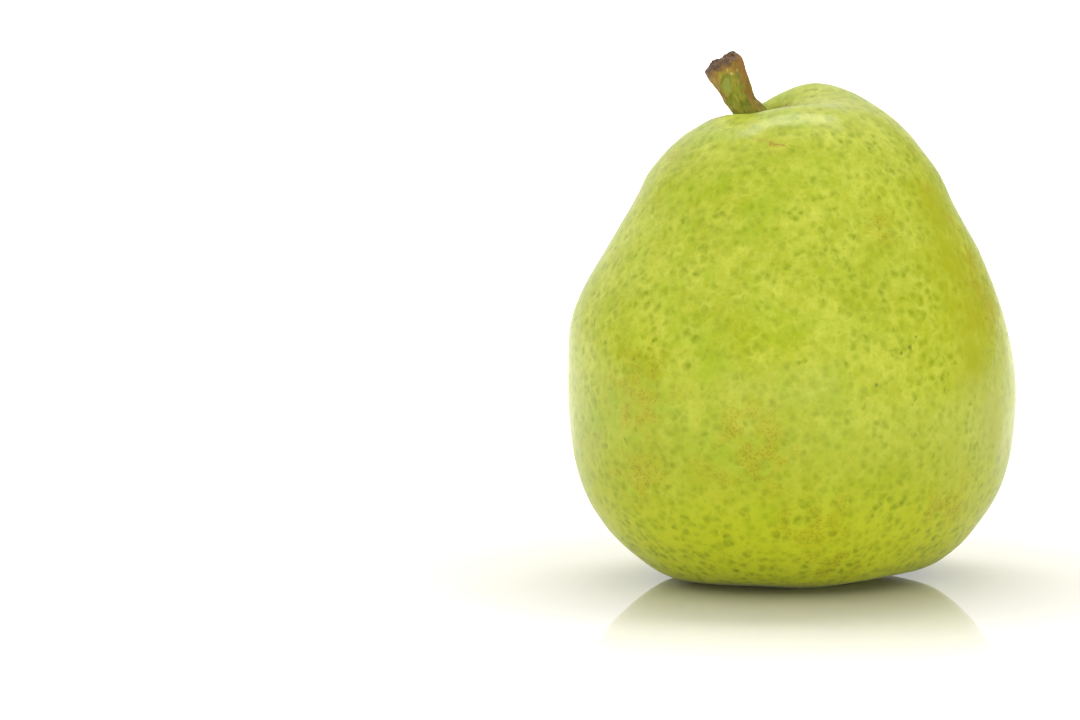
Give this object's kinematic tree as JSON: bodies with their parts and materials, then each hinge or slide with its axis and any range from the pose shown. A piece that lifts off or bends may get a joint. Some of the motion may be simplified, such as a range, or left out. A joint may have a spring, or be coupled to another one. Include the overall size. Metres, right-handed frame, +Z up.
{
  "type": "pear",
  "caption": "Squat round yellow-green pear standing on its own foot, with a short leaning woody stem in a hollow and a dried calyx underneath.",
  "frame": {"origin": "on the surface that the pear stands on, under the middle of the pear's bounding box", "axes": "+Z up from the foot to the stem, +X to the right and +Y away from the viewer as the pear is pictured, so the stem leans towards -X"},
  "size_m": [0.0826, 0.0816, 0.096],
  "materials": {
    "skin": "satin",
    "stem_bark": "matte",
    "dried_calyx": "matte"
  },
  "bodies": {
    "root": {"fruit": "skin", "stem": "stem_bark", "calyx": "dried_calyx"}
  },
  "joints": []
}
